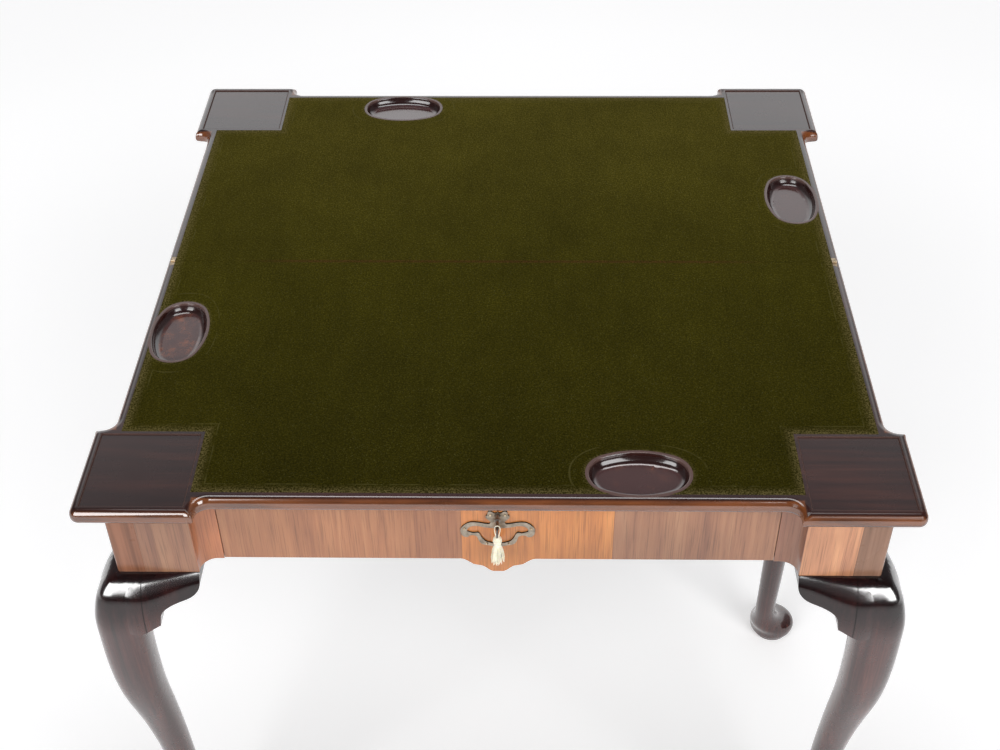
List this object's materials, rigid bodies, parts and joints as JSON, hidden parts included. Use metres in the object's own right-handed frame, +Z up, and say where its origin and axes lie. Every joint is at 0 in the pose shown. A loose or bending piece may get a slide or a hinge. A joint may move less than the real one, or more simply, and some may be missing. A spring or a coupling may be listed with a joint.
{
  "type": "fold-over game table",
  "caption": "Fold-over card table open for play: baize-lined hinged leaves with counter wells on a drawered frame, cabriole legs and a swinging gate leg.",
  "frame": {"origin": "on the floor under the middle of the open top's folding line", "axes": "+X to the right of a person facing the drawer, -Y towards the drawer front, +Z up; the folding line runs along X"},
  "size_m": [0.8954, 0.8677, 0.7141],
  "materials": {
    "top_wood": "dark red-brown mahogany, old wax polish",
    "leg_wood": "near-black mahogany, glossy polish",
    "veneer": "orange-brown mahogany veneer, satin polish",
    "oak": "bare old oak",
    "baize": "matt napped wool cloth, dark olive green",
    "brass": "dull aged brass",
    "iron": "dark wrought iron",
    "steel": "worn steel",
    "silk": "cream silk strands"
  },
  "bodies": {
    "table": {"bed_leaf": "top_wood", "bed_baize": "baize", "front_left_leg": "leg_wood", "front_right_leg": "leg_wood", "rear_right_leg": "leg_wood", "front_left_leg_front_ear": "leg_wood", "front_left_leg_side_ear": "leg_wood", "front_right_leg_front_ear": "leg_wood", "front_right_leg_side_ear": "leg_wood", "rear_right_leg_ear": "leg_wood", "front_left_return": "veneer", "front_right_return": "veneer", "front_left_side_block": "veneer", "front_right_side_block": "veneer", "rear_left_side_block": "veneer", "rear_right_side_block": "veneer", "left_side_rail": "veneer", "right_side_rail": "veneer", "front_upper_rail": "oak", "front_lower_rail": "oak", "inner_rear_rail": "oak", "fly_rail_spacers": "oak", "fixed_fly_rail": "oak", "glue_blocks": "oak", "left_drawer_runner": "oak", "right_drawer_runner": "oak", "left_drawer_kicker": "oak", "right_drawer_kicker": "oak", "left_bed_hinge_plate": "brass", "right_bed_hinge_plate": "brass", "hinge_pins": "brass", "bed_hinge_screws": "brass", "gate_knuckle_pin": "iron", "top_fixing_screws": "iron"},
    "flap": {"flap_leaf": "top_wood", "flap_baize": "baize", "left_flap_hinge_plate": "brass", "right_flap_hinge_plate": "brass", "flap_hinge_screws": "brass"},
    "gate": {"gate_rail": "oak", "gate_leg": "leg_wood", "gate_leg_ear": "leg_wood"},
    "drawer": {"drawer_front": "oak", "drawer_front_veneer": "veneer", "left_drawer_side": "oak", "right_drawer_side": "oak", "drawer_back": "oak", "drawer_bottom": "oak", "lock_case": "iron", "lock_cap": "iron", "lock_screws": "iron", "escutcheon": "brass", "escutcheon_pins": "brass"},
    "key": {"key": "steel"},
    "bolt": {"lock_bolt": "iron"},
    "tassel": {"tassel_cord": "silk", "tassel_head": "silk", "tassel_skirt": "silk"}
  },
  "joints": [
    {"name": "flap_fold", "type": "hinge", "parent": "table", "child": "flap", "pos_m": [0, 0, 0.7123], "axis": [1, 0, 0], "range_deg": [0, 180]},
    {"name": "gate_swing", "type": "hinge", "parent": "table", "child": "gate", "pos_m": [-0.02, -0.014, 0.645], "axis": [0, 0, 1], "range_deg": [0, 90]},
    {"name": "drawer_slide", "type": "slide", "parent": "table", "child": "drawer", "axis": [0, -1, 0], "range_m": [0, 0.22]},
    {"name": "key_turn", "type": "hinge", "parent": "drawer", "child": "key", "pos_m": [0, -0.39, 0.666], "axis": [0, 1, 0], "range_deg": [0, 180]},
    {"name": "bolt_slide", "type": "slide", "parent": "drawer", "child": "bolt", "axis": [0, 0, 1], "range_m": [0, 0.0075]},
    {"name": "tassel_swing", "type": "hinge", "parent": "drawer", "child": "tassel", "pos_m": [0, -0.402, 0.666], "axis": [0, 1, 0], "range_deg": [-60, 60]}
  ],
  "couplings": [
    {"joint": "key_turn", "follows": "bolt_slide", "rad_per_m": 418.88}
  ]
}
